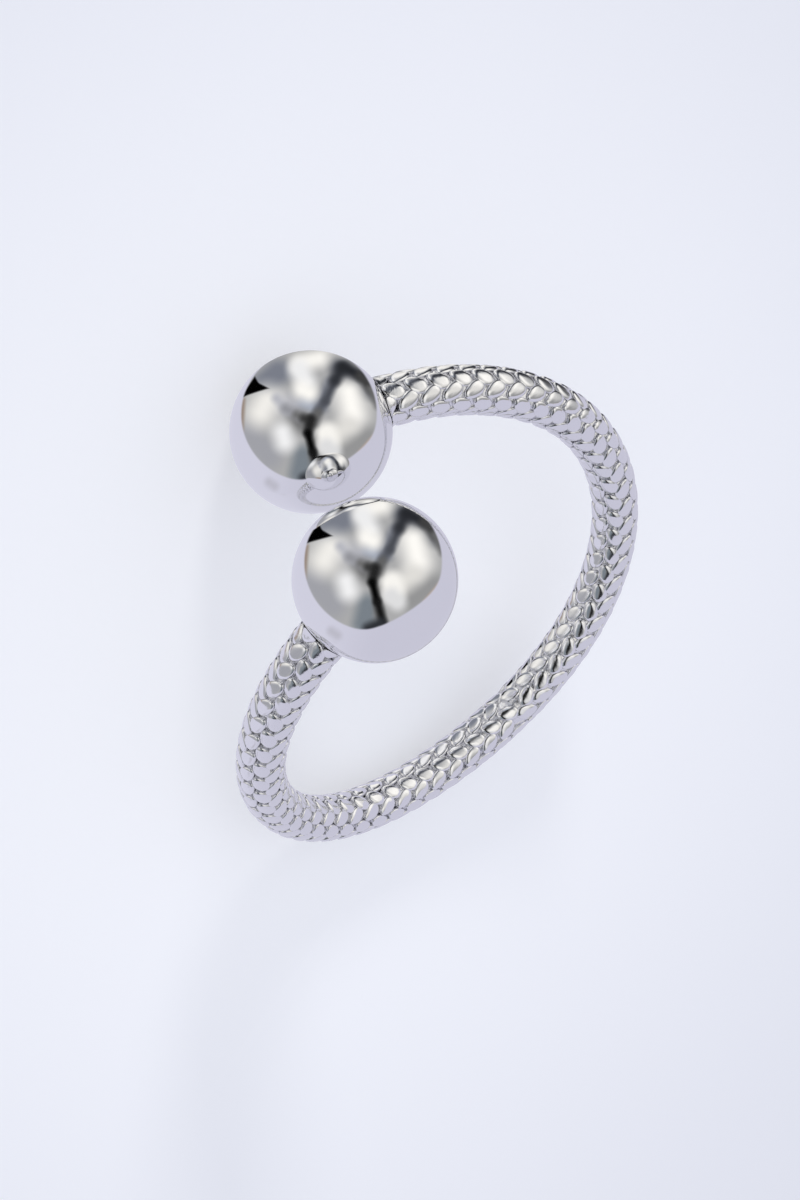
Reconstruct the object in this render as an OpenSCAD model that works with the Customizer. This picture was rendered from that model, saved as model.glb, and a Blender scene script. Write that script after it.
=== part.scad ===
// Open bypass ring: a round band with a raised wheat-ear weave, closed by a polished ball at each end.
// The hoop lies on its side with +Z up, resting on the lower ball and on the band. Millimetres throughout.

/* [Hoop] */
// Mean radius of the hoop, measured to the middle of the band
hoop_r = 10.14; // [9.5:0.01:11]
// Share by which the hoop is wider side to side than its mean radius
hoop_oval = 0.035; // [0:0.005:0.05]
// Share by which the hoop's shoulders stand out, three to a turn
hoop_lobe = 0.01; // [0:0.005:0.03]
// Angle from the back of the hoop to the centre of each ball
half_turn = 165.5; // [160:0.5:170]

/* [Sweep] */
// Distance of each ball's centre from the hoop's middle plane
ball_side = 3.5; // [3.2:0.05:4.5]
// Sideways lean of the back of the hoop, in multiples of ball_side
lean = 2.45; // [1.5:0.05:3]
// Strength of the bend that carries each end past the other, in multiples of ball_side
sweep = 5.59; // [4:0.05:6.5]

/* [Band] */
// Thickness of the band at the back, over the raised weave
band_back_d = 2.1; // [1.6:0.01:2.6]
// Thickness of the band where it meets a ball, over the raised weave
band_end_d = 2.43; // [1.8:0.01:2.8]

/* [Weave] */
// Rows of leaves from the back of the band to one ball
weave_rows = 27; // [20:1:28]
// Pairs of columns of leaves round the band, each pair leaning together as a V
weave_pairs = 5; // [4:1:6]
// Distance along the band that a leaf's edge runs ahead of its middle
weave_slant = 0.22; // [0.05:0.01:0.3]
// Depth of the valley between two neighbouring leaves
valley_depth = 0.13; // [0.05:0.01:0.2]
// Height of the step at a leaf's round head
head_step = 0.1; // [0.03:0.01:0.15]

/* [Balls] */
// Diameter of each ball
ball_d = 7; // [6:0.1:8]
// Width of the joint between a ball and the end of the band
seat_gap = 0.03; // [0.02:0.01:0.05]

/* [Pegs] */
// Diameter of the plain peg at each end of the band
peg_d = 1.2; // [0.8:0.1:1.6]
// Length of the peg inside its ball
peg_len = 1.5; // [1:0.1:2.5]
// Clearance round the peg in its drilled socket
peg_clearance = 0.03; // [0.02:0.01:0.05]
// Space left beyond the end of the peg in its socket
socket_spare = 0.2; // [0.1:0.05:0.5]

/* [Rest] */
// Turn about X that lays the hoop down as it rests by itself
lay_x = -15.99; // [-25:0.01:0]
// Turn about Y that lays the hoop down as it rests by itself
lay_y = -4.57; // [-10:0.01:10]

/* [Hidden] */
$fn = 96;

ball_r = ball_d / 2;
seat_r = ball_r + seat_gap;
peg_r = peg_d / 2;
ease = sweep - lean - 1;

// Rings of one row: share of the row, drop along the middle of a leaf in the leading columns and in
// the columns that lag by half a row, and drop between the columns. The first two drops are shares
// of the head's step, the last is a share of the valley.
SHARE = 0;
LEADING = 1;
LAGGING = 2;
BETWEEN = 3;
ROW = [
    [0.00, 1.0, 0.3, 1.0],
    [0.16, 0.0, 0.6, 0.7],
    [0.50, 0.3, 1.0, 1.0],
    [0.66, 0.6, 0.0, 0.7],
];

// Points round the band: one on each valley and one on each leaf's middle
sides = weave_pairs * 4;
side_angle = 360 / sides;
arc_steps = 220;
tangent_reach = 0.05;
front_margin = 0.08;
seat_share = 0.72;

function unit(v) = v / norm(v);

// Middle of the band at an angle from the back of the hoop
function hoop_radius(a) = hoop_r * (1 - hoop_oval * cos(2 * a) - hoop_lobe * cos(3 * a));
function side_share(v) = v * (-lean + sweep * pow(v, 2) - ease * pow(v, 4));
function centre(a) = [
    hoop_radius(a) * sin(a),
    hoop_radius(a) * cos(a),
    ball_side * side_share(a / half_turn)
];

// Directions at that angle: along the band, out from the hoop, and across both
function along(a) = unit(centre(a + tangent_reach) - centre(a - tangent_reach));
function square_to(v, axis) = unit(v - (v * axis) * axis);
function outward(a) = square_to([sin(a), cos(a), 0], along(a));

// Distance along the band against the angle, from the back to one ball
arc_step = half_turn / arc_steps;
ARC = [
    for (i = 0, run = 0;
         i <= arc_steps;
         run = run + norm(centre((i + 1) * arc_step) - centre(i * arc_step)), i = i + 1)
        [run, i * arc_step]
];
half_len = ARC[arc_steps][0];
function angle_at(run) = sign(run) * lookup(abs(run), ARC);
function band_r(run) = band_back_d / 2 + (band_end_d - band_back_d) / 2 * pow(run / half_len, 2);

// One point on the band: signed distance from the back, angle round the band, distance from its middle
function skin(run, turn, r) =
    let (a = angle_at(run), u = outward(a), w = cross(along(a), u))
    centre(a) + r * (cos(turn) * u + sin(turn) * w);

// The edges of the leaves run ahead and fall behind by turns, and their middles do neither
function is_edge(k) = k % 2 == 0;
function turn_of(k) = (k + 1) * side_angle;
function lead(k) = is_edge(k) ? weave_slant * (k % 4 == 0 ? 1 : -1) : 0;
function drop(step, k) =
    is_edge(k) ? valley_depth * step[BETWEEN] : head_step * step[k % 4 == 1 ? LEADING : LAGGING];

// Rings of the weave on one half, from the back of the band to its ball
first_row = weave_slant + front_margin;
seat_run = half_len - sqrt(pow(seat_r, 2) - pow(band_end_d / 2, 2));
row_len = (seat_run - first_row - weave_slant) / weave_rows;
function weave_ring(half, row, step) =
    let (run = first_row + (row + step[SHARE]) * row_len)
    [for (k = [0 : sides - 1])
        skin(half * (run + lead(k)), turn_of(k), band_r(run) - drop(step, k))];
function weave_rings(half) = [
    for (row = [0 : weave_rows - 1], step = ROW) weave_ring(half, row, step)
];

// Rings of the plain end on one half: the seat that follows the ball, then the peg
function ball_centre(half) = centre(half * half_turn);
function peg_axis(half) = unit(centre(angle_at(half * seat_run)) - ball_centre(half));
function on_seat(half, p) = ball_centre(half) + seat_r * unit(p - ball_centre(half));
function rim_ring(half) = [
    for (k = [0 : sides - 1])
        on_seat(half, skin(half * seat_run, turn_of(k), band_r(seat_run) - drop(ROW[0], k)))
];
function peg_ring(half, reach) =
    let (axis = peg_axis(half), u = square_to(outward(angle_at(half * seat_run)), axis))
    let (w = cross(axis * -half, u))
    [for (k = [0 : sides - 1])
        ball_centre(half) + axis * reach
        + peg_r * (cos(turn_of(k)) * u + sin(turn_of(k)) * w)];
function between(rings, share) = [
    for (k = [0 : sides - 1]) rings[0][k] * share + rings[1][k] * (1 - share)
];
neck_reach = sqrt(pow(seat_r, 2) - pow(peg_r, 2));
function seat_rings(half) =
    let (rim = rim_ring(half), neck = peg_ring(half, neck_reach))
    let (mid = [for (p = between([rim, neck], seat_share)) on_seat(half, p)])
    [rim, mid, neck, peg_ring(half, neck_reach - peg_len)];

function reversed(list) = [for (i = [len(list) - 1 : -1 : 0]) list[i]];
BAND_RINGS = concat(
    reversed(concat(weave_rings(-1), seat_rings(-1))),
    concat(weave_rings(1), seat_rings(1))
);
BAND_POINTS = [for (ring = BAND_RINGS) each ring];

// Two facets between each pair of neighbouring points on each pair of neighbouring rings
function facets(i, k) =
    let (next = (k + 1) % sides, low = i * sides, high = (i + 1) * sides)
    is_edge(k)
        ? [[low + k, high + next, low + next], [low + k, high + k, high + next]]
        : [[low + k, high + k, low + next], [low + next, high + k, high + next]];
BAND_FACES = concat(
    [[for (k = [0 : sides - 1]) k]],
    [for (i = [0 : len(BAND_RINGS) - 2], k = [0 : sides - 1]) each facets(i, k)],
    [reversed([for (k = [0 : sides - 1]) (len(BAND_RINGS) - 1) * sides + k])]
);

// The laid-down ring stands with its box centred on the origin and its lowest point at zero
function about_x(p, a) = [p.x, p.y * cos(a) - p.z * sin(a), p.y * sin(a) + p.z * cos(a)];
function about_y(p, a) = [p.x * cos(a) + p.z * sin(a), p.y, p.z * cos(a) - p.x * sin(a)];
function laid(p) = about_y(about_x(p, lay_x), lay_y);
LAID_BAND = [for (p = BAND_POINTS) laid(p)];
LAID_BALLS = [laid(ball_centre(-1)), laid(ball_centre(1))];
function lows(axis) = concat([for (p = LAID_BAND) p[axis]], [for (p = LAID_BALLS) p[axis] - ball_r]);
function highs(axis) = concat([for (p = LAID_BAND) p[axis]], [for (p = LAID_BALLS) p[axis] + ball_r]);
function middle(axis) = (min(lows(axis)) + max(highs(axis))) / 2;

module lay_down() {
    translate([-middle(0), -middle(1), -min(lows(2))])
        rotate([lay_x, lay_y, 0])
            children();
}

// Stands children at a ball's centre with +Z towards the end of the band
module at_ball(half) {
    axis = peg_axis(half);
    translate(ball_centre(half))
        rotate([0, acos(axis.z), atan2(axis.y, axis.x)])
            children();
}

module ball(half) {
    at_ball(half)
        difference() {
            sphere(r = ball_r);
            translate([0, 0, neck_reach - peg_len - socket_spare])
                cylinder(h = ball_r, r = peg_r + peg_clearance);
        }
}

module woven_band() {
    color([0.80, 0.80, 0.83]) lay_down() polyhedron(points = BAND_POINTS, faces = BAND_FACES);
}

module lower_ball() {
    color([0.86, 0.86, 0.88]) lay_down() ball(-1);
}

module upper_ball() {
    color([0.86, 0.86, 0.88]) lay_down() ball(1);
}

woven_band();
lower_ball();
upper_ball();
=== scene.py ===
"""Open bypass ring with two balls: its bright finish, its woven band, its studio and its camera.

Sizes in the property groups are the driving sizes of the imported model, in metres.
"""
from bisect import bisect_right
from collections import namedtuple
from math import cos, pi, radians, sin, sqrt

import bmesh
import bpy
from mathutils import Euler, Matrix, Vector


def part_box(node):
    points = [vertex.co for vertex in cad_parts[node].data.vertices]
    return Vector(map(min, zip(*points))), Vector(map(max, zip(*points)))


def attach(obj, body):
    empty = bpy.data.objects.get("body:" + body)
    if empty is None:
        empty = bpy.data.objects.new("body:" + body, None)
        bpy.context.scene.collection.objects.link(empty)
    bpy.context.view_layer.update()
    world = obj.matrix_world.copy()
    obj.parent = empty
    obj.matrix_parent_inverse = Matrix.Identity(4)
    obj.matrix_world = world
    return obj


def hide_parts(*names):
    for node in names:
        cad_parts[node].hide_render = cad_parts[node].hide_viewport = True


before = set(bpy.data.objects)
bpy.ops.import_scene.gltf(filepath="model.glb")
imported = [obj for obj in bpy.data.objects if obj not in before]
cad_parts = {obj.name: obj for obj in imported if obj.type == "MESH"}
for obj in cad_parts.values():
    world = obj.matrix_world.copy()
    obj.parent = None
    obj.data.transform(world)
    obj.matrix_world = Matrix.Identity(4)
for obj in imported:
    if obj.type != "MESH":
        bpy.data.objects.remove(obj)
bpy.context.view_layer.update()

bl_info = {
    "name": "Bypass ring with two balls",
    "version": (1, 0, 0),
    "blender": (4, 5, 0),
    "location": "View3D > Sidebar > Ring",
    "description": "Builds the finished ring round its packed model, with a pale studio and a camera",
    "category": "Object",
}

BODY = "root"
MM = 0.001
LOWER, UPPER = -1, 1
HALVES = (LOWER, UPPER)
BALL_NODES = {LOWER: "lower_ball", UPPER: "upper_ball"}


def longest_side(node):
    """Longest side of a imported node's box."""
    low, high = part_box(node)
    return max(high - low)


def box_middle(node):
    """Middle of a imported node's box."""
    low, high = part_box(node)
    return (low + high) / 2


def size(name, description, millimetres):
    """A length that the panel shows, given in millimetres and held in metres."""
    return bpy.props.FloatProperty(
        name=name, description=description, default=millimetres * MM, unit="LENGTH", precision=6
    )


def share(name, description, default):
    """A plain factor that the panel shows."""
    return bpy.props.FloatProperty(name=name, description=description, default=default, precision=4)


def turn(name, description, degrees):
    """An angle that the panel shows, given in degrees and held in radians."""
    return bpy.props.FloatProperty(
        name=name, description=description, default=radians(degrees), subtype="ANGLE"
    )


def count(name, description, default):
    """A whole number that the panel shows."""
    return bpy.props.IntProperty(name=name, description=description, default=default, min=1)


def tint(name, description, default):
    """A linear colour that the panel shows."""
    return bpy.props.FloatVectorProperty(
        name=name, description=description, default=default, size=3, subtype="COLOR", min=0, max=1
    )


class HoopSizes(bpy.types.PropertyGroup):
    """The line that the middle of the band follows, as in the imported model."""

    mean_radius: size("Mean radius", "Hoop's mean radius, to the middle of the band", 10.14)
    oval: share("Oval", "Share by which the hoop is wider side to side than its mean radius", 0.035)
    lobe: share("Lobe", "Share by which the shoulders stand out, three to a turn", 0.01)
    half_turn: turn("Half turn", "Angle from the back of the hoop to a ball's centre", 165.5)
    ball_side: size("Ball side", "Distance of a ball's centre from the hoop's middle plane", 3.5)
    lean: share("Lean", "Sideways lean of the back of the hoop, in ball sides", 2.45)
    sweep: share("Sweep", "Bend that carries each end past the other, in ball sides", 5.59)
    lay_x: turn("Laid about X", "Turn about X that lays the ring down", -15.99)
    lay_y: turn("Laid about Y", "Turn about Y that lays the ring down", -4.57)


class WeaveSizes(bpy.types.PropertyGroup):
    """The raised weave of the band."""

    back_radius: size("Back radius", "Band's radius at the back of the hoop, over the leaves", 1.05)
    end_radius: size("End radius", "Band's radius at a ball, over the leaves", 1.215)
    rows: count("Rows", "Rows of leaves from the back of the band to one ball", 27)
    columns: count("Columns", "Leaves round the band", 10)
    stagger: share("Stagger", "Share of a row by which every other column lags", 0.48)
    pair_pull: turn("Pull of a pair", "Angle by which a pair's leaves close up on their shared line", 1.5)
    overlap: share("Overlap", "Length of a leaf in rows", 1.24)
    leaf_lean: turn("Lean of a leaf", "Angle between a leaf and the band", 35)
    leaf_width: share("Width of a leaf", "Width of a leaf at its head, in columns", 1.5)
    tail_width: share("Width of a tail", "Width of a leaf's tail, in head widths", 0.66)
    peak_share: share("Peak", "Share of a leaf from its head to its highest line", 0.84)
    head_drop: size("Head drop", "Drop of a leaf from its highest line to its head", 0.095)
    tail_drop: size("Tail drop", "Drop of a leaf from its highest line to its tail", 0.03)
    leaf_depth: size("Depth of a leaf", "Depth of a leaf's foot below its face", 0.38)
    edge: size("Edge", "Width of a leaf's rounded edge", 0.025)
    shoulder: size("Shoulder", "Rise of a leaf's shoulder over its edge", 0.03)
    shoulder_width: size("Shoulder width", "Width of a leaf's shoulder", 0.05)
    crown: size("Crown", "Rise of a leaf's face over its shoulder", 0.03)
    crown_width: size("Crown width", "Width of the rise round a leaf's face", 0.16)
    core_depth: size("Core depth", "Depth of the recesses below the leaves' faces", 0.19)
    peg_radius: size("Peg radius", "Radius of the plain peg at each end", 0.6)
    peg_length: size("Peg length", "Length of the peg inside its ball", 1.5)


class BallSizes(bpy.types.PropertyGroup):
    """The two plain balls."""

    radius: bpy.props.FloatProperty(
        name="Radius",
        description="Radius of each ball, from the packed model",
        default=longest_side(BALL_NODES[LOWER]) / 2,
        unit="LENGTH",
        precision=6,
    )
    seat_gap: size("Seat gap", "Width of the joint between a ball and the band", 0.03)
    socket_radius: size("Socket radius", "Radius of the drilled socket", 0.63)
    socket_depth: size("Socket depth", "Depth of the drilled socket", 1.7)
    segments: count("Segments", "Faces round a ball", 160)


class FinishColours(bpy.types.PropertyGroup):
    """Colours of the bright plated metal."""

    ball: tint("Ball", "Mirror-polished plating", (0.93, 0.93, 0.94))
    leaf: tint("Leaf", "Plating on the faces of the leaves", (0.90, 0.90, 0.92))
    # The recess colour is a little darker than the leaf colour: painted shade in the recesses between the
    # leaves
    shaded_recess: tint("Recess", "Plating in the recesses between the leaves", (0.87, 0.87, 0.90))
    floor: tint("Floor", "Pale paper under the ring", (0.70, 0.70, 0.70))


class StudioSizes(bpy.types.PropertyGroup):
    """The camera and the pale floor."""

    azimuth: turn("Azimuth", "Camera's angle about Z, from looking along +Y", 16)
    elevation: turn("Elevation", "Camera's height angle over the floor", 50.4)
    roll: turn("Roll", "Camera's roll about its own line of sight", 113)
    distance: size("Distance", "Camera's distance from its aim", 250)
    lens: bpy.props.FloatProperty(
        name="Lens", description="Focal length on a 36 mm frame", default=172.7, unit="CAMERA"
    )
    aim: bpy.props.FloatVectorProperty(
        name="Aim",
        description="Point that the camera looks at",
        default=(0.529 * MM, -0.198 * MM, 4.722 * MM),
        size=3,
        subtype="TRANSLATION",
    )
    floor_radius: size("Floor radius", "Radius of the pale floor", 1500)
    floor_drop: size("Floor drop", "Distance of the floor below the ring", 0.01)


class RingSettings(bpy.types.PropertyGroup):
    """All the sizes and colours of the ring."""

    hoop: bpy.props.PointerProperty(type=HoopSizes)
    weave: bpy.props.PointerProperty(type=WeaveSizes)
    balls: bpy.props.PointerProperty(type=BallSizes)
    finish: bpy.props.PointerProperty(type=FinishColours)
    studio: bpy.props.PointerProperty(type=StudioSizes)


def settings():
    """The ring's own settings on the scene."""
    return bpy.context.scene.ring_settings


# The line of the band

RUN_STEPS = 220
TANGENT_REACH = radians(0.05)


def square_to(vector, axis):
    """The unit part of a vector that is square to a unit axis."""
    return (vector - vector.dot(axis) * axis).normalized()


class Hoop:
    """The middle line of the band in the row frame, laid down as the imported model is."""

    def __init__(self, ring):
        self.sizes = ring.hoop
        self.weave = ring.weave
        self.seat = ring.balls.radius + ring.balls.seat_gap
        self.ease = self.sizes.sweep - self.sizes.lean - 1
        self.laid = Euler((self.sizes.lay_x, self.sizes.lay_y, 0)).to_matrix()
        bare_ball = self.bare(LOWER * self.sizes.half_turn)
        self.shift = box_middle(BALL_NODES[LOWER]) - self.laid @ bare_ball
        self.runs = [0.0]
        self.step = self.sizes.half_turn / RUN_STEPS
        for i in range(RUN_STEPS):
            chord = self.bare(i * self.step + self.step) - self.bare(i * self.step)
            self.runs.append(self.runs[-1] + chord.length)
        self.half_length = self.runs[-1]
        self.seat_run = self.half_length - sqrt(self.seat**2 - self.weave.end_radius**2)

    def bare(self, angle):
        """Middle of the band at an angle from the back of the hoop, before the ring is laid down."""
        s = self.sizes
        radius = s.mean_radius * (1 - s.oval * cos(2 * angle) - s.lobe * cos(3 * angle))
        v = angle / s.half_turn
        side = s.ball_side * v * (-s.lean + s.sweep * v**2 - self.ease * v**4)
        return Vector((radius * sin(angle), radius * cos(angle), side))

    def placed(self, point):
        """A point of the bare hoop, where it lies in the row frame."""
        return self.laid @ point + self.shift

    def ball(self, half):
        """Centre of a ball."""
        return self.placed(self.bare(half * self.sizes.half_turn))

    def angle_at(self, run):
        """Angle from the back at a signed distance along the band."""
        reach = min(abs(run), self.half_length)
        i = min(bisect_right(self.runs, reach), RUN_STEPS) - 1
        part = (reach - self.runs[i]) / (self.runs[i + 1] - self.runs[i])
        angle = (i + part) * self.step
        return angle if run >= 0 else -angle

    def radius(self, run):
        """Radius of the band over its leaves."""
        grown = (run / self.half_length) ** 2
        return self.weave.back_radius + (self.weave.end_radius - self.weave.back_radius) * grown

    def skin(self, run, around, radius):
        """One point on the band: distance along it, angle round it, distance from its middle."""
        angle = self.angle_at(run)
        along = self.bare(angle + TANGENT_REACH) - self.bare(angle - TANGENT_REACH)
        along.normalize()
        outward = square_to(Vector((sin(angle), cos(angle), 0)), along)
        across = along.cross(outward)
        return self.placed(self.bare(angle) + radius * (cos(around) * outward + sin(around) * across))

    def clear_of_ball(self, point):
        """The point, or where the joint with a ball stops it."""
        for half in HALVES:
            out = point - self.ball(half)
            if out.length < self.seat:
                return self.ball(half) + out.normalized() * self.seat
        return point

    def peg_axis(self, half):
        """Direction from a ball's centre to the end of the band."""
        end = self.placed(self.bare(self.angle_at(half * self.seat_run)))
        return (end - self.ball(half)).normalized()


# Shader expressions

# Sockets of a Mix node that mixes colours
MIX_FACTOR, MIX_FIRST, MIX_SECOND, MIX_RESULT = 0, 6, 7, 2
NOISE_DETAIL = 2.0
SCREEN_GAMMA = 2.2


class Socket:
    """A shader output that Python expressions add Math nodes to."""

    def __init__(self, shader, output):
        self.shader = shader
        self.output = output

    def math(self, operation, first, second=0.0):
        """What a Math node makes of two values."""
        return self.shader.node("Math", {"operation": operation}, {0: first, 1: second})

    def __add__(self, other):
        return self.math("ADD", self, other)

    def __radd__(self, other):
        return self.math("ADD", other, self)

    def __sub__(self, other):
        return self.math("SUBTRACT", self, other)

    def __rsub__(self, other):
        return self.math("SUBTRACT", other, self)

    def __mul__(self, other):
        return self.math("MULTIPLY", self, other)

    def __rmul__(self, other):
        return self.math("MULTIPLY", other, self)

    def __truediv__(self, other):
        return self.math("DIVIDE", self, other)

    def __pow__(self, other):
        return self.math("POWER", self, other)

    def at_least(self, floor):
        """The value, or the floor where the value is below it."""
        return self.math("MAXIMUM", self, floor)

    def at_most(self, ceiling):
        """The value, or the ceiling where the value is above it."""
        return self.math("MINIMUM", self, ceiling)


class Shader:
    """The nodes of one material or world."""

    def __init__(self, owner):
        owner.use_nodes = True
        self.tree = owner.node_tree
        self.tree.nodes.clear()

    def node(self, kind, choices=None, inputs=None, output=0):
        """A node of that kind: its choices are set first, then its sockets, and one output comes back."""
        made = self.tree.nodes.new("ShaderNode" + kind)
        for name, value in (choices or {}).items():
            setattr(made, name, value)
        for name, value in (inputs or {}).items():
            self.feed(made.inputs[name], value)
        return Socket(self, made.outputs[output]) if made.outputs else None

    def feed(self, target, value):
        """Links a socket, or sets its plain value."""
        if isinstance(value, Socket):
            self.tree.links.new(value.output, target)
        else:
            target.default_value = value

    def vector(self, operation, first, second, output=0):
        """What a Vector Math node makes of two vectors."""
        return self.node("VectorMath", {"operation": operation}, {0: first, 1: second}, output)

    def distance(self, first, second):
        """Distance between two places."""
        return self.vector("DISTANCE", first, second, "Value")

    def dot(self, first, second):
        """Part of one vector that lies along another."""
        return self.vector("DOT_PRODUCT", first, second, "Value")

    def mix(self, factor, first, second):
        """The first colour where the factor is nothing, and the second where it is one."""
        sockets = {MIX_FACTOR: factor, MIX_FIRST: first, MIX_SECOND: second}
        return self.node("Mix", {"data_type": "RGBA"}, sockets, MIX_RESULT)

    def fade(self, value, start, end):
        """One before start and nothing after end, with a smooth slope between."""
        sockets = {"Value": value, "From Min": start, "From Max": end, "To Min": 1.0, "To Max": 0.0}
        return self.node("MapRange", {"interpolation_type": "SMOOTHSTEP"}, sockets)

    def object_place(self):
        """A place on the piece, in the piece's own coordinates."""
        return self.node("TexCoord", output="Object")

    def noise(self, scale):
        """Cloudy noise on the piece's own coordinates, with about scale blots to a metre."""
        sockets = {"Vector": self.object_place(), "Scale": scale, "Detail": NOISE_DETAIL}
        return self.node("TexNoise", {}, sockets, "Fac")

    def bump(self, strength, distance, height):
        """A shallow relief that only the light shows."""
        return self.node("Bump", {}, {"Strength": strength, "Distance": distance, "Height": height})

    def screen_light(self, on_screen):
        """The light that looks like this colour on screen."""
        return self.node("Gamma", {}, {"Color": on_screen, "Gamma": SCREEN_GAMMA})

    def surface(self, sockets):
        """The material's surface, from what goes into its shader."""
        shaded = self.node("BsdfPrincipled", {}, sockets)
        self.node("OutputMaterial", {}, {"Surface": shaded})


def opaque(colour):
    """A colour with full alpha."""
    return (*colour, 1.0)


# Bright plated metal: scales are in blots to a metre

BALL_HAZE = 260.0
BALL_FINE = 2600.0
BALL_DULLED = 0.97
BALL_ROUGHNESS = 0.015
BALL_HAZE_ROUGHNESS = 0.03
BALL_BUMP = 0.02
BALL_BUMP_DEPTH = 0.01 * MM
LEAF_HAZE = 700.0
LEAF_FINE = 3800.0
LEAF_ROUGHNESS = 0.07
LEAF_HAZE_ROUGHNESS = 0.04
LEAF_BUMP = 0.15
LEAF_BUMP_DEPTH = 0.02 * MM
RECESS_ROUGHNESS = 0.22
RECESS_RISE = 0.15
FACE_RISE = 0.8
RECESS_PITS = 8000.0
PIT_DEPTH = 4.5
JOINT_NEAR = 3.5 * MM
JOINT_FAR = 4.5 * MM


def new_material(name):
    """A material of that name and its nodes."""
    material = bpy.data.materials.new(name)
    return material, Shader(material)


def polished_metal(finish):
    """Mirror plating with a faint haze where a cloth has wiped it."""
    material, s = new_material("polished_metal")
    haze = s.noise(BALL_HAZE)
    dulled = [part * BALL_DULLED for part in finish.ball]
    s.surface(
        {
            "Base Color": s.mix(haze, opaque(finish.ball), opaque(dulled)),
            "Metallic": 1.0,
            "Roughness": haze * BALL_HAZE_ROUGHNESS + BALL_ROUGHNESS,
            "Normal": s.bump(BALL_BUMP, BALL_BUMP_DEPTH, s.noise(BALL_FINE)),
        }
    )
    return material


def woven_metal(finish, ball_centres):
    """Bright plating on the leaves; duller in the recesses and painted a little darker there for shade;
    pitted in the recesses and at the joints.
    """
    material, s = new_material("woven_metal")
    rise = s.node("Attribute", {"attribute_name": RISE}, output="Fac")
    open_face = 1 - s.fade(rise, RECESS_RISE, FACE_RISE)
    haze = s.noise(LEAF_HAZE)
    lower, upper = (s.distance(s.object_place(), centre) for centre in ball_centres)
    joint = s.fade(lower.at_most(upper), JOINT_NEAR, JOINT_FAR)
    pits = s.noise(RECESS_PITS) * (1 - open_face + joint) * PIT_DEPTH
    smoothing = open_face * (RECESS_ROUGHNESS - LEAF_ROUGHNESS)
    s.surface(
        {
            # Painted shade: the recesses, and partly the leaves' edges, take the darker recess colour
            "Base Color": s.mix(open_face, opaque(finish.shaded_recess), opaque(finish.leaf)),
            "Metallic": 1.0,
            "Roughness": RECESS_ROUGHNESS - smoothing + haze * LEAF_HAZE_ROUGHNESS,
            "Normal": s.bump(LEAF_BUMP, LEAF_BUMP_DEPTH, pits + s.noise(LEAF_FINE)),
        }
    )
    return material


# Pieces

# Attribute of the band that says how far up on a leaf a point is, from nothing to one
RISE = "rise"
# At the leaves' edges the band takes part of the darker recess colour: a painted dark outline of shade
EDGE_RISE = 0.45
TOP_RISE = 1.0
# A leaf is shaped from a circle of unit length, so its head and its tail are half a unit out
HALF_LEAF = 0.5
HEAD_STEEPNESS = 3.2
TAIL_STEEPNESS = 1.7
LEAF_SIDES = 8
CORE_SIDES = 20
CORE_RINGS = 120
ON_PLANE = 1e-9


def finished(bm, name, material, replaced):
    """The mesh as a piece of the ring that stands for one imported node."""
    mesh = bpy.data.meshes.new(name)
    bm.to_mesh(mesh)
    bm.free()
    mesh.materials.append(material)
    mesh.polygons.foreach_set("use_smooth", [True] * len(mesh.polygons))
    piece = bpy.data.objects.new(name, mesh)
    bpy.context.scene.collection.objects.link(piece)
    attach(piece, BODY)
    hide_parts(replaced)
    return piece


def everything(bm):
    """All the points, edges and faces there are."""
    return bm.verts[:] + bm.edges[:] + bm.faces[:]


def open_edges(bm):
    """The edges round an opening."""
    return [edge for edge in bm.edges if edge.is_boundary]


def made_face(made):
    """The one face among the parts that an operator made."""
    return next(part for part in made["geom"] if isinstance(part, bmesh.types.BMFace))


def made_verts(made):
    """The points among the parts that an operator made."""
    return [part for part in made["geom"] if isinstance(part, bmesh.types.BMVert)]


def drill(bm, sizes):
    """A blind socket on the +Z side of a ball."""
    mouth = (0, 0, sqrt(sizes.radius**2 - sizes.socket_radius**2))
    bmesh.ops.bisect_plane(
        bm, geom=everything(bm), dist=ON_PLANE, plane_co=mouth, plane_no=(0, 0, 1), clear_outer=True
    )
    rim = open_edges(bm)
    foot = made_verts(bmesh.ops.extrude_edge_only(bm, edges=rim))
    bmesh.ops.translate(bm, verts=foot, vec=(0, 0, -sizes.socket_depth))
    bmesh.ops.edgeloop_fill(bm, edges=open_edges(bm))
    for edge in rim:
        edge.smooth = False


def ball_piece(ring, hoop, half, material):
    """A polished ball, drilled for the peg at its end of the band."""
    sizes = ring.balls
    bm = bmesh.new()
    bmesh.ops.create_uvsphere(
        bm, u_segments=sizes.segments, v_segments=sizes.segments // 2, radius=sizes.radius
    )
    drill(bm, sizes)
    bmesh.ops.recalc_face_normals(bm, faces=bm.faces)
    turned = hoop.peg_axis(half).to_track_quat("Z", "X").to_matrix()
    bmesh.ops.rotate(bm, verts=bm.verts, matrix=turned)
    bmesh.ops.translate(bm, verts=bm.verts, vec=hoop.ball(half))
    node = BALL_NODES[half]
    finished(bm, node + "_polished", material, node)


def pull_out(bm, face):
    """The far face of a wall that starts round a face, which itself stays behind."""
    return made_face(bmesh.ops.extrude_face_region(bm, geom=[face]))


def raise_face(bm, face, height):
    """Pulls a face straight up, with a wall below it."""
    top = pull_out(bm, face)
    bmesh.ops.translate(bm, verts=top.verts, vec=(0, 0, height))
    return top


def leaf_foot(bm, weave, row_length):
    """The outline of a leaf at the depth of its foot: round, and narrower towards its tail."""
    length = row_length * weave.overlap
    width = weave.back_radius * 2 * pi / weave.columns * weave.leaf_width
    made = bmesh.ops.create_circle(bm, cap_ends=True, segments=LEAF_SIDES, radius=HALF_LEAF)
    for v in made["verts"]:
        from_head = HALF_LEAF - v.co.x
        v.co.x *= length
        v.co.y *= width * (1 - (1 - weave.tail_width) * from_head)
        v.co.z = -weave.leaf_depth
    return made["verts"][0].link_faces[0]


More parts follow.
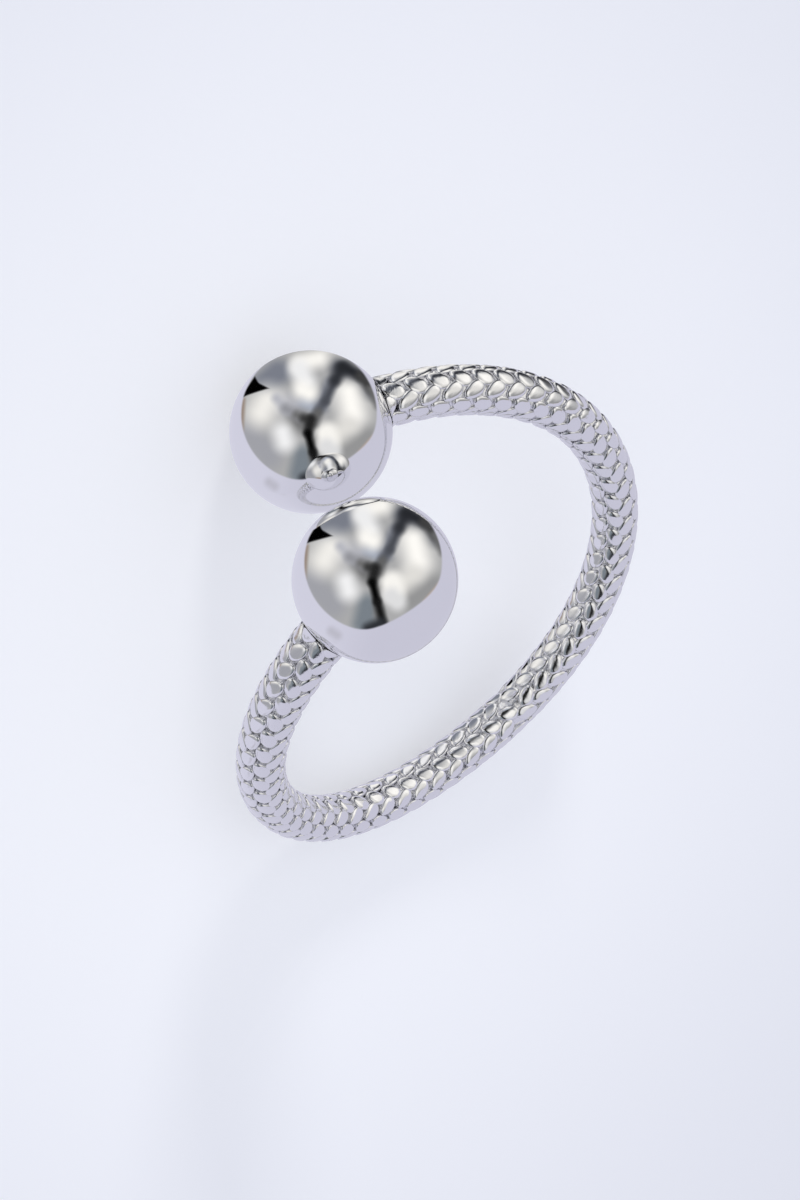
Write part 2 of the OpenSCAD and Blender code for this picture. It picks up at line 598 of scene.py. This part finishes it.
def flat_leaf(bm, weave, row_length):
    """One flat leaf at the origin: head towards +X, face up, its foot sunk in the core."""
    level = bm.verts.layers.float.new(RISE)
    wall = weave.leaf_depth - weave.crown - weave.shoulder - weave.edge
    top = raise_face(bm, leaf_foot(bm, weave, row_length), wall)
    steps = (
        (weave.edge, weave.edge, EDGE_RISE),
        (weave.shoulder_width, weave.shoulder, TOP_RISE),
        (weave.crown_width, weave.crown, TOP_RISE),
    )
    for inward, upward, rise in steps:
        bmesh.ops.inset_region(bm, faces=[top], thickness=inward, depth=upward)
        for v in top.verts:
            v[level] = rise
    bmesh.ops.recalc_face_normals(bm, faces=bm.faces)


def fall(weave, from_head):
    """Drop of a leaf below its highest line, at a share of its length from its head."""
    past_peak = from_head - weave.peak_share
    if past_peak > 0:
        return weave.tail_drop * (past_peak / (1 - weave.peak_share)) ** TAIL_STEEPNESS
    return weave.head_drop * (-past_peak / weave.peak_share) ** HEAD_STEEPNESS


def lay_leaf(verts, hoop, weave, half, head, column):
    """Bends the leaf's points on to the band, leaning towards the other leaf of its pair."""
    side = 1 if column % 2 else -1
    lean = weave.leaf_lean * side
    around = 2 * column * pi / weave.columns + weave.pair_pull * side
    length = max(v.co.x for v in verts) - min(v.co.x for v in verts)
    for v in verts:
        ahead = v.co.x * cos(lean) + v.co.y * sin(lean)
        beside = v.co.x * sin(lean) - v.co.y * cos(lean)
        run = half * (head + length / 2 - ahead)
        height = v.co.z - fall(weave, HALF_LEAF - v.co.x / length)
        angle = around + beside / weave.back_radius
        v.co = hoop.clear_of_ball(hoop.skin(run, angle, hoop.radius(run) + height))


def lag(weave, column):
    """Share of a row by which a column lags."""
    return weave.stagger if column % 2 == 0 else 0


def add_leaves(bm, ring, hoop):
    """Every leaf of the weave, in rows that look away from the nearer ball."""
    weave = ring.weave
    row_length = hoop.seat_run / weave.rows
    flat_leaf(bm, weave, row_length)
    pattern = everything(bm)
    for half in HALVES:
        for row in range(-1, weave.rows):
            for column in range(weave.columns):
                # One leaf more in each lagging column covers the gap at the back of the hoop
                if row >= 0 or (half == UPPER and lag(weave, column)):
                    leaf = made_verts(bmesh.ops.duplicate(bm, geom=pattern))
                    head = (row + lag(weave, column)) * row_length
                    lay_leaf(leaf, hoop, weave, half, head, column)
    spare = [part for part in pattern if isinstance(part, bmesh.types.BMVert)]
    bmesh.ops.delete(bm, geom=spare, context="VERTS")


def core_radius(hoop, run):
    """Radius of the core under the leaves."""
    return hoop.radius(run) - hoop.weave.core_depth


def lay_core_ring(verts, hoop, run):
    """Lays one ring of the core's points round the band."""
    for i, v in enumerate(verts):
        around = 2 * pi * i / CORE_SIDES
        v.co = hoop.clear_of_ball(hoop.skin(run, around, core_radius(hoop, run)))


def add_core(bm, hoop):
    """The smooth core under the leaves, closed by the peg at each end."""
    verts = bmesh.ops.create_circle(bm, cap_ends=True, segments=CORE_SIDES, radius=1)["verts"]
    lay_core_ring(verts, hoop, -hoop.seat_run)
    lower_end = verts[0].link_faces[0]
    upper_end = lower_end
    step = 2 * hoop.seat_run / CORE_RINGS
    for i in range(CORE_RINGS):
        # The first face that stays behind is the lower end, and the others stay hidden inside
        upper_end = pull_out(bm, upper_end)
        lay_core_ring(upper_end.verts, hoop, -hoop.seat_run + (i + 1) * step)
    add_peg(bm, lower_end, hoop, LOWER)
    add_peg(bm, upper_end, hoop, UPPER)


def add_peg(bm, end, hoop, half):
    """The plain peg that goes into a ball."""
    step_in = core_radius(hoop, hoop.seat_run) - hoop.weave.peg_radius
    bmesh.ops.inset_region(bm, faces=[end], thickness=step_in)
    tip = pull_out(bm, end)
    bmesh.ops.translate(bm, verts=tip.verts, vec=hoop.peg_axis(half) * -hoop.weave.peg_length)


def band_piece(ring, hoop, material):
    """The band: its core and its leaves, rounded by one level of subdivision."""
    bm = bmesh.new()
    add_leaves(bm, ring, hoop)
    add_core(bm, hoop)
    piece = finished(bm, "woven_band_leaves", material, "woven_band")
    rounding = piece.modifiers.new("rounded", "SUBSURF")
    rounding.levels = 1
    rounding.render_levels = 1


# Studio

# What a mirror ball shows the camera of the studio: places are (across, up) in shares of the
# ball's radius, and shades are as they look on screen, where 1 is white and more is a lamp.
# A glow has its full shade within its core of the line from start to end, and fades out over
# its soft width.
Glow = namedtuple("Glow", "start end core soft shade tint")
NEUTRAL = (1.0, 1.0, 1.0)
FAINT = (0.98, 0.985, 1.02)
COOL = (0.94, 0.98, 1.06)
SAGE = (0.94, 1.0, 1.055)
SLATE = (0.95, 0.98, 1.06)
WARM = (1.01, 1.0, 0.975)
LILAC = (1.0, 0.995, 1.06)
BROWN = (1.10, 0.99, 0.91)

GLOWS = (
    # Dim cloth of the tent
    Glow((-0.76, -0.02), (-0.50, -0.30), 0.03, 0.25, 0.66, FAINT),
    Glow((0.45, -0.24), (0.70, -0.06), 0.02, 0.22, 0.60, NEUTRAL),
    Glow((-0.54, 0.60), (-0.40, 0.72), 0.05, 0.21, 0.52, SLATE),
    Glow((-0.36, 0.34), (-0.16, 0.30), 0.00, 0.24, 0.74, FAINT),
    Glow((-0.05, 0.34), (0.04, 0.30), 0.00, 0.16, 0.70, COOL),
    # Soft slopes beside the gaps
    Glow((0.14, 0.32), (0.26, 0.58), 0.02, 0.14, 0.50, SLATE),
    Glow((0.27, 0.34), (0.35, 0.56), 0.00, 0.14, 0.72, NEUTRAL),
    Glow((0.34, 0.78), (0.70, 0.52), 0.02, 0.18, 0.36, SLATE),
    Glow((-0.04, 0.08), (-0.14, 0.12), 0.02, 0.20, 0.46, NEUTRAL),
    Glow((-0.08, -0.31), (-0.13, -0.52), 0.04, 0.18, 0.52, SAGE),
    Glow((0.03, -0.10), (0.05, -0.40), 0.00, 0.12, 0.48, NEUTRAL),
    # Lit panels
    Glow((-0.60, 0.24), (-0.53, 0.37), 0.00, 0.34, 0.97, WARM),
    Glow((-0.34, -0.02), (-0.31, -0.13), 0.00, 0.23, 0.98, NEUTRAL),
    Glow((-0.13, 0.83), (0.08, 0.89), 0.01, 0.20, 1.00, WARM),
    Glow((-0.15, 0.76), (-0.06, 0.60), 0.02, 0.19, 0.97, NEUTRAL),
    Glow((-0.10, 0.50), (-0.02, 0.46), 0.00, 0.20, 1.02, WARM),
    Glow((0.46, 0.48), (0.52, 0.22), 0.00, 0.31, 1.03, WARM),
    Glow((0.46, 0.06), (0.32, -0.04), 0.00, 0.23, 0.90, WARM),
    Glow((0.20, -0.03), (0.22, -0.13), 0.05, 0.16, 1.00, WARM),
    Glow((0.20, -0.20), (0.27, -0.26), 0.03, 0.15, 0.90, NEUTRAL),
    # Dark gaps between the panels
    Glow((0.04, 0.17), (0.18, 0.36), 0.00, 0.09, 0.38, SLATE),
    Glow((0.18, 0.36), (0.29, 0.62), 0.00, 0.10, 0.33, SLATE),
    Glow((0.29, 0.62), (0.37, 0.78), 0.00, 0.13, 0.23, SLATE),
    Glow((0.37, 0.80), (0.58, 0.70), 0.00, 0.13, 0.19, SLATE),
    Glow((0.58, 0.70), (0.72, 0.54), 0.00, 0.11, 0.27, NEUTRAL),
    Glow((0.72, 0.54), (0.82, 0.34), 0.00, 0.10, 0.42, NEUTRAL),
    Glow((-0.28, 0.26), (-0.41, 0.40), 0.00, 0.11, 0.76, FAINT),
    Glow((-0.12, 0.17), (-0.30, 0.27), 0.00, 0.12, 0.61, FAINT),
    Glow((-0.02, 0.14), (-0.17, 0.195), 0.00, 0.09, 0.45, NEUTRAL),
    Glow((0.00, 0.13), (-0.08, 0.15), 0.00, 0.10, 0.25, NEUTRAL),
    Glow((0.04, 0.10), (0.09, 0.22), 0.00, 0.11, 0.40, NEUTRAL),
    Glow((0.01, 0.14), (-0.03, -0.02), 0.01, 0.09, 0.17, NEUTRAL),
    Glow((-0.03, -0.03), (0.03, -0.26), 0.00, 0.08, 0.06, NEUTRAL),
    Glow((0.03, -0.26), (0.10, -0.50), 0.00, 0.09, 0.12, NEUTRAL),
    Glow((0.07, -0.51), (-0.08, -0.58), 0.00, 0.12, 0.22, COOL),
    # Brown trim on the edge of the tent
    Glow((-0.85, 0.02), (-0.82, 0.40), 0.00, 0.06, 0.55, BROWN),
    Glow((0.60, -0.26), (0.80, -0.02), 0.00, 0.05, 0.66, BROWN),
)
# A dark opening beside the tent, as two triangles whose corners are given clockwise
WEDGES = (
    ((-0.81, 0.46), (-0.675, 0.65), (-0.645, 0.585)),
    ((-0.81, 0.46), (-0.645, 0.585), (-0.55, 0.53)),
)
WEDGE_SHADE = 0.03
WEDGE_EDGE = 0.03
TENT_SHADE = 0.69
TENT_MIDDLE = (-0.02, 0.212, 0.0)
TENT_RADIUS = 0.82
FRONT_MIDDLE = (-0.69, 1.30, 0.0)
FRONT_RADIUS = 2.0
TENT_EDGE = 0.015
TENT_CORNER = 0.12
TABLE_NEAR = (0.84, 0.838, 0.90)
TABLE_FAR = (0.80, 0.797, 0.86)
TABLE_SLOPE = (-1.0, 0.3, 0.0)
TABLE_FADE = (-0.3, 0.5)
TABLE_MARK = Glow((-0.52, -0.61), (-0.45, -0.66), 0.00, 0.10, 0.76, LILAC)
BEHIND_BALL = 1e-4
BACKDROP = (0.72, 0.75, 0.86)


def shown(shade, colour=NEUTRAL):
    """A shade and a tint as they look on screen."""
    return opaque([shade * part for part in colour])


def camera_axes(studio):
    """Right, up and back of the camera in the row frame."""
    az, el, roll = studio.azimuth, studio.elevation, studio.roll
    back = Vector((sin(az) * cos(el), -cos(az) * cos(el), sin(el)))
    level = Vector((cos(az), sin(az), 0))
    upright = back.cross(level)
    right = level * cos(roll) + upright * sin(roll)
    return right, back.cross(right), back


def ball_view(s, studio, direction):
    """Where a mirror ball shows each direction of the studio to the camera."""
    right, up, back = camera_axes(studio)
    # The ball faces halfway between the direction and the camera there
    spread = ((s.dot(direction, back) + 1).at_least(BEHIND_BALL) * 2) ** 0.5
    across = s.dot(direction, right) / spread
    upward = s.dot(direction, up) / spread
    return s.node("CombineXYZ", {}, {"X": across, "Y": upward})


def distance_to_line(s, place, start, end):
    """Distance from a place to the straight line between two points."""
    start, line = Vector((*start, 0)), Vector((*end, 0)) - Vector((*start, 0))
    offset = s.vector("SUBTRACT", place, start)
    part = s.dot(offset, line / line.length_squared).at_least(0).at_most(1)
    nearest = s.node("VectorMath", {"operation": "SCALE"}, {0: line, "Scale": part})
    return s.distance(offset, nearest)


def outside_corners(s, place, corners):
    """Distance from a place to a flat shape, whose corners are given clockwise."""
    outside = 0.0
    for start, end in zip(corners, corners[1:] + corners[:1]):
        outward = Vector((start[1] - end[1], end[0] - start[0], 0)).normalized()
        past_edge = s.dot(s.vector("SUBTRACT", place, Vector((*start, 0))), outward)
        outside = past_edge.at_least(outside)
    return outside


def lit(s, place, light, glow):
    """The light, with one glow over it."""
    away = distance_to_line(s, place, glow.start, glow.end)
    mask = s.fade(away, glow.core, glow.core + glow.soft)
    return s.mix(mask, light, shown(glow.shade, glow.tint))


def tent_light(s, place):
    """The lit panels of the tent and the dark gaps between them."""
    light = shown(TENT_SHADE)
    for glow in GLOWS:
        light = lit(s, place, light, glow)
    for corners in WEDGES:
        wedge = s.fade(outside_corners(s, place, corners), 0, WEDGE_EDGE)
        light = s.mix(wedge, light, shown(WEDGE_SHADE))
    return light


def tent_mouth(s, place):
    """Signed distance to the edge of the tent: a circle, cut off by a wider one in front."""
    side = s.distance(place, TENT_MIDDLE) - TENT_RADIUS
    front = s.distance(place, FRONT_MIDDLE) - FRONT_RADIUS
    return s.node("Math", {"operation": "SMOOTH_MAX"}, {0: side, 1: front, 2: TENT_CORNER})


def table_light(s, place):
    """The pale table, a little darker on its far side, with a small grey mark on it."""
    side = s.dot(place, TABLE_SLOPE)
    table = s.mix(s.fade(side, *TABLE_FADE), opaque(TABLE_NEAR), opaque(TABLE_FAR))
    return lit(s, place, table, TABLE_MARK)


def studio_light(s, studio):
    """The whole studio: the tent above, and the pale table below it."""
    place = ball_view(s, studio, s.node("TexCoord", output="Generated"))
    inside = s.fade(tent_mouth(s, place), -TENT_EDGE, TENT_EDGE)
    return s.screen_light(s.mix(inside, table_light(s, place), tent_light(s, place)))


def light_studio(studio):
    """Plain pale light from all round, and the tent and the table for the metal to mirror."""
    world = bpy.data.worlds.new("soft_studio")
    bpy.context.scene.world = world
    s = Shader(world)
    mirrored = s.node("LightPath", output="Is Glossy Ray")
    plain = s.node("Background", {}, {"Color": opaque(BACKDROP)})
    detailed = s.node("Background", {}, {"Color": studio_light(s, studio)})
    light = s.node("MixShader", {}, {0: mirrored, 1: plain, 2: detailed})
    s.node("OutputWorld", {}, {"Surface": light})


# Direction of the key light, by the right, up and back of the camera
KEY_FROM = (0.2, 0.82, 0.53)
KEY_SOFTNESS = radians(12)
KEY_STRENGTH = 1.0


def key_light(studio):
    """A soft key from the top of the picture, for a faint shadow towards its foot."""
    light = bpy.data.lights.new("key", "SUN")
    light.energy = KEY_STRENGTH
    light.angle = KEY_SOFTNESS
    lamp = bpy.data.objects.new("key", light)
    toward = sum((axis * part for axis, part in zip(camera_axes(studio), KEY_FROM)), Vector())
    lamp.rotation_euler = toward.to_track_quat("Z", "Y").to_euler()
    lamp.visible_glossy = False
    bpy.context.scene.collection.objects.link(lamp)


DISC_SEGMENTS = 96


def stage_disc(name, radius, facing, middle, material):
    """A flat disc of the stage that faces a direction."""
    bm = bmesh.new()
    bmesh.ops.create_circle(bm, cap_ends=True, segments=DISC_SEGMENTS, radius=radius)
    turned = Vector(facing).to_track_quat("Z", "Y").to_matrix()
    bmesh.ops.rotate(bm, verts=bm.verts, matrix=turned)
    bmesh.ops.translate(bm, verts=bm.verts, vec=middle)
    mesh = bpy.data.meshes.new(name)
    bm.to_mesh(mesh)
    bm.free()
    mesh.materials.append(material)
    disc = bpy.data.objects.new(name, mesh)
    bpy.context.scene.collection.objects.link(disc)
    return disc


FLOOR_FACING = (0, 0, 1)
FLOOR_GLOW = 0.5
FLOOR_BRIGHT = (0.63, 0.635, 0.65)
FLOOR_DIM = (0.30, 0.30, 0.34)
# The floor glows with a painted pool of light, bright round POOL_MIDDLE and dimming out to POOL_FAR
POOL_MIDDLE = (3 * MM, -2 * MM, 0.0)
POOL_NEAR = 2 * MM
POOL_FAR = 56 * MM
PAPER_ROUGHNESS = 0.95
PAPER_GRAIN = 1500.0
PAPER_BUMP = 0.03
PAPER_BUMP_DEPTH = 0.02 * MM


def pale_paper(finish):
    """Matt pale paper with a faint tooth, which glows with a painted pool of light round the ring."""
    material, s = new_material("pale_paper")
    pool = s.fade(s.distance(s.object_place(), POOL_MIDDLE), POOL_NEAR, POOL_FAR)
    s.surface(
        {
            "Base Color": opaque(finish.floor),
            "Roughness": PAPER_ROUGHNESS,
            "Normal": s.bump(PAPER_BUMP, PAPER_BUMP_DEPTH, s.noise(PAPER_GRAIN)),
            # Painted pool of light: the paper's glow is brighter near the ring and dimmer farther out
            "Emission Color": s.mix(pool, opaque(FLOOR_DIM), opaque(FLOOR_BRIGHT)),
            "Emission Strength": FLOOR_GLOW,
        }
    )
    return material


def plain_floor(ring):
    """The plain floor, which the metal doesn't mirror: the studio light holds its own table."""
    middle = (0, 0, -ring.studio.floor_drop)
    material = pale_paper(ring.finish)
    floor = stage_disc("floor", ring.studio.floor_radius, FLOOR_FACING, middle, material)
    floor.visible_glossy = False
    floor.visible_shadow = False


CARD_FACING = (-0.0219, -0.9613, 0.2746)
CARD_MIDDLE = (2.43 * MM, 12.9 * MM, 5.03 * MM)
CARD_RADIUS = 32 * MM


def table_glow(studio, seen_from):
    """Glowing card with the light of the table, as seen from the middle of a ball."""
    material, s = new_material("table_card")
    outward = s.vector("SUBTRACT", s.object_place(), seen_from)
    direction = s.node("VectorMath", {"operation": "NORMALIZE"}, {0: outward})
    light = s.screen_light(table_light(s, ball_view(s, studio, direction)))
    glow = s.node("Emission", {}, {"Color": light})
    s.node("OutputMaterial", {}, {"Surface": glow})
    return material


def table_card(studio, seen_from):
    """The near part of the table that the ring stood on, as a card glowing with the table's light, which
    only the metal mirrors.
    """
    material = table_glow(studio, seen_from)
    card = stage_disc("table_card", CARD_RADIUS, CARD_FACING, CARD_MIDDLE, material)
    card.visible_camera = False
    card.visible_diffuse = False
    card.visible_shadow = False


CLIP_NEAR = 1 * MM
CLIP_FAR = 5000 * MM


def set_camera(studio):
    """The camera at the photograph's angle to the ring."""
    data = bpy.data.cameras.new("camera")
    data.lens = studio.lens
    data.clip_start = CLIP_NEAR
    data.clip_end = CLIP_FAR
    camera = bpy.data.objects.new("camera", data)
    right, up, back = camera_axes(studio)
    place = Vector(studio.aim) + back * studio.distance
    turned = Matrix((right, up, back)).transposed().to_4x4()
    camera.matrix_world = Matrix.Translation(place) @ turned
    bpy.context.scene.collection.objects.link(camera)
    bpy.context.scene.camera = camera


class RING_OT_balls(bpy.types.Operator):
    """Build the two polished balls"""

    bl_idname = "ring.balls"
    bl_label = "Polished balls"

    def execute(self, context):
        ring = settings()
        hoop = Hoop(ring)
        material = polished_metal(ring.finish)
        for half in HALVES:
            ball_piece(ring, hoop, half, material)
        return {"FINISHED"}


class RING_OT_band(bpy.types.Operator):
    """Build the woven band"""

    bl_idname = "ring.band"
    bl_label = "Woven band"

    def execute(self, context):
        ring = settings()
        hoop = Hoop(ring)
        centres = [hoop.ball(half) for half in HALVES]
        band_piece(ring, hoop, woven_metal(ring.finish, centres))
        return {"FINISHED"}


class RING_OT_stage(bpy.types.Operator):
    """Set up the pale floor, the studio light and the camera"""

    bl_idname = "ring.stage"
    bl_label = "Floor, light and camera"

    def execute(self, context):
        ring = settings()
        plain_floor(ring)
        light_studio(ring.studio)
        key_light(ring.studio)
        table_card(ring.studio, Hoop(ring).ball(UPPER))
        set_camera(ring.studio)
        context.scene.view_settings.view_transform = "Standard"
        return {"FINISHED"}


class RING_PT_panel(bpy.types.Panel):
    """Sizes and colours of the ring, and the steps that build it"""

    bl_idname = "RING_PT_panel"
    bl_label = "Bypass ring"
    bl_space_type = "VIEW_3D"
    bl_region_type = "UI"
    bl_category = "Ring"

    def draw(self, context):
        """Lists the sizes and colours, then the steps."""
        ring = settings()
        for group in (ring.hoop, ring.weave, ring.balls, ring.finish, ring.studio):
            box = self.layout.box()
            for name in group.__annotations__:
                box.prop(group, name)
        for operator in (RING_OT_balls, RING_OT_band, RING_OT_stage):
            self.layout.operator(operator.bl_idname)


CLASSES = (
    HoopSizes,
    WeaveSizes,
    BallSizes,
    FinishColours,
    StudioSizes,
    RingSettings,
    RING_OT_balls,
    RING_OT_band,
    RING_OT_stage,
    RING_PT_panel,
)


def register():
    """Adds the ring's classes and its settings to Blender."""
    for cls in CLASSES:
        bpy.utils.register_class(cls)
    bpy.types.Scene.ring_settings = bpy.props.PointerProperty(type=RingSettings)


def unregister():
    """Takes them out again."""
    del bpy.types.Scene.ring_settings
    for cls in reversed(CLASSES):
        bpy.utils.unregister_class(cls)


def plain(box):
    """A box as plain lists of numbers."""
    return [[float(part) for part in corner] for corner in box]


def main():
    """Builds the ring and its stage."""
    register()
    bpy.ops.ring.balls()
    bpy.ops.ring.band()
    bpy.ops.ring.stage()


if __name__ == "__main__":
    main()
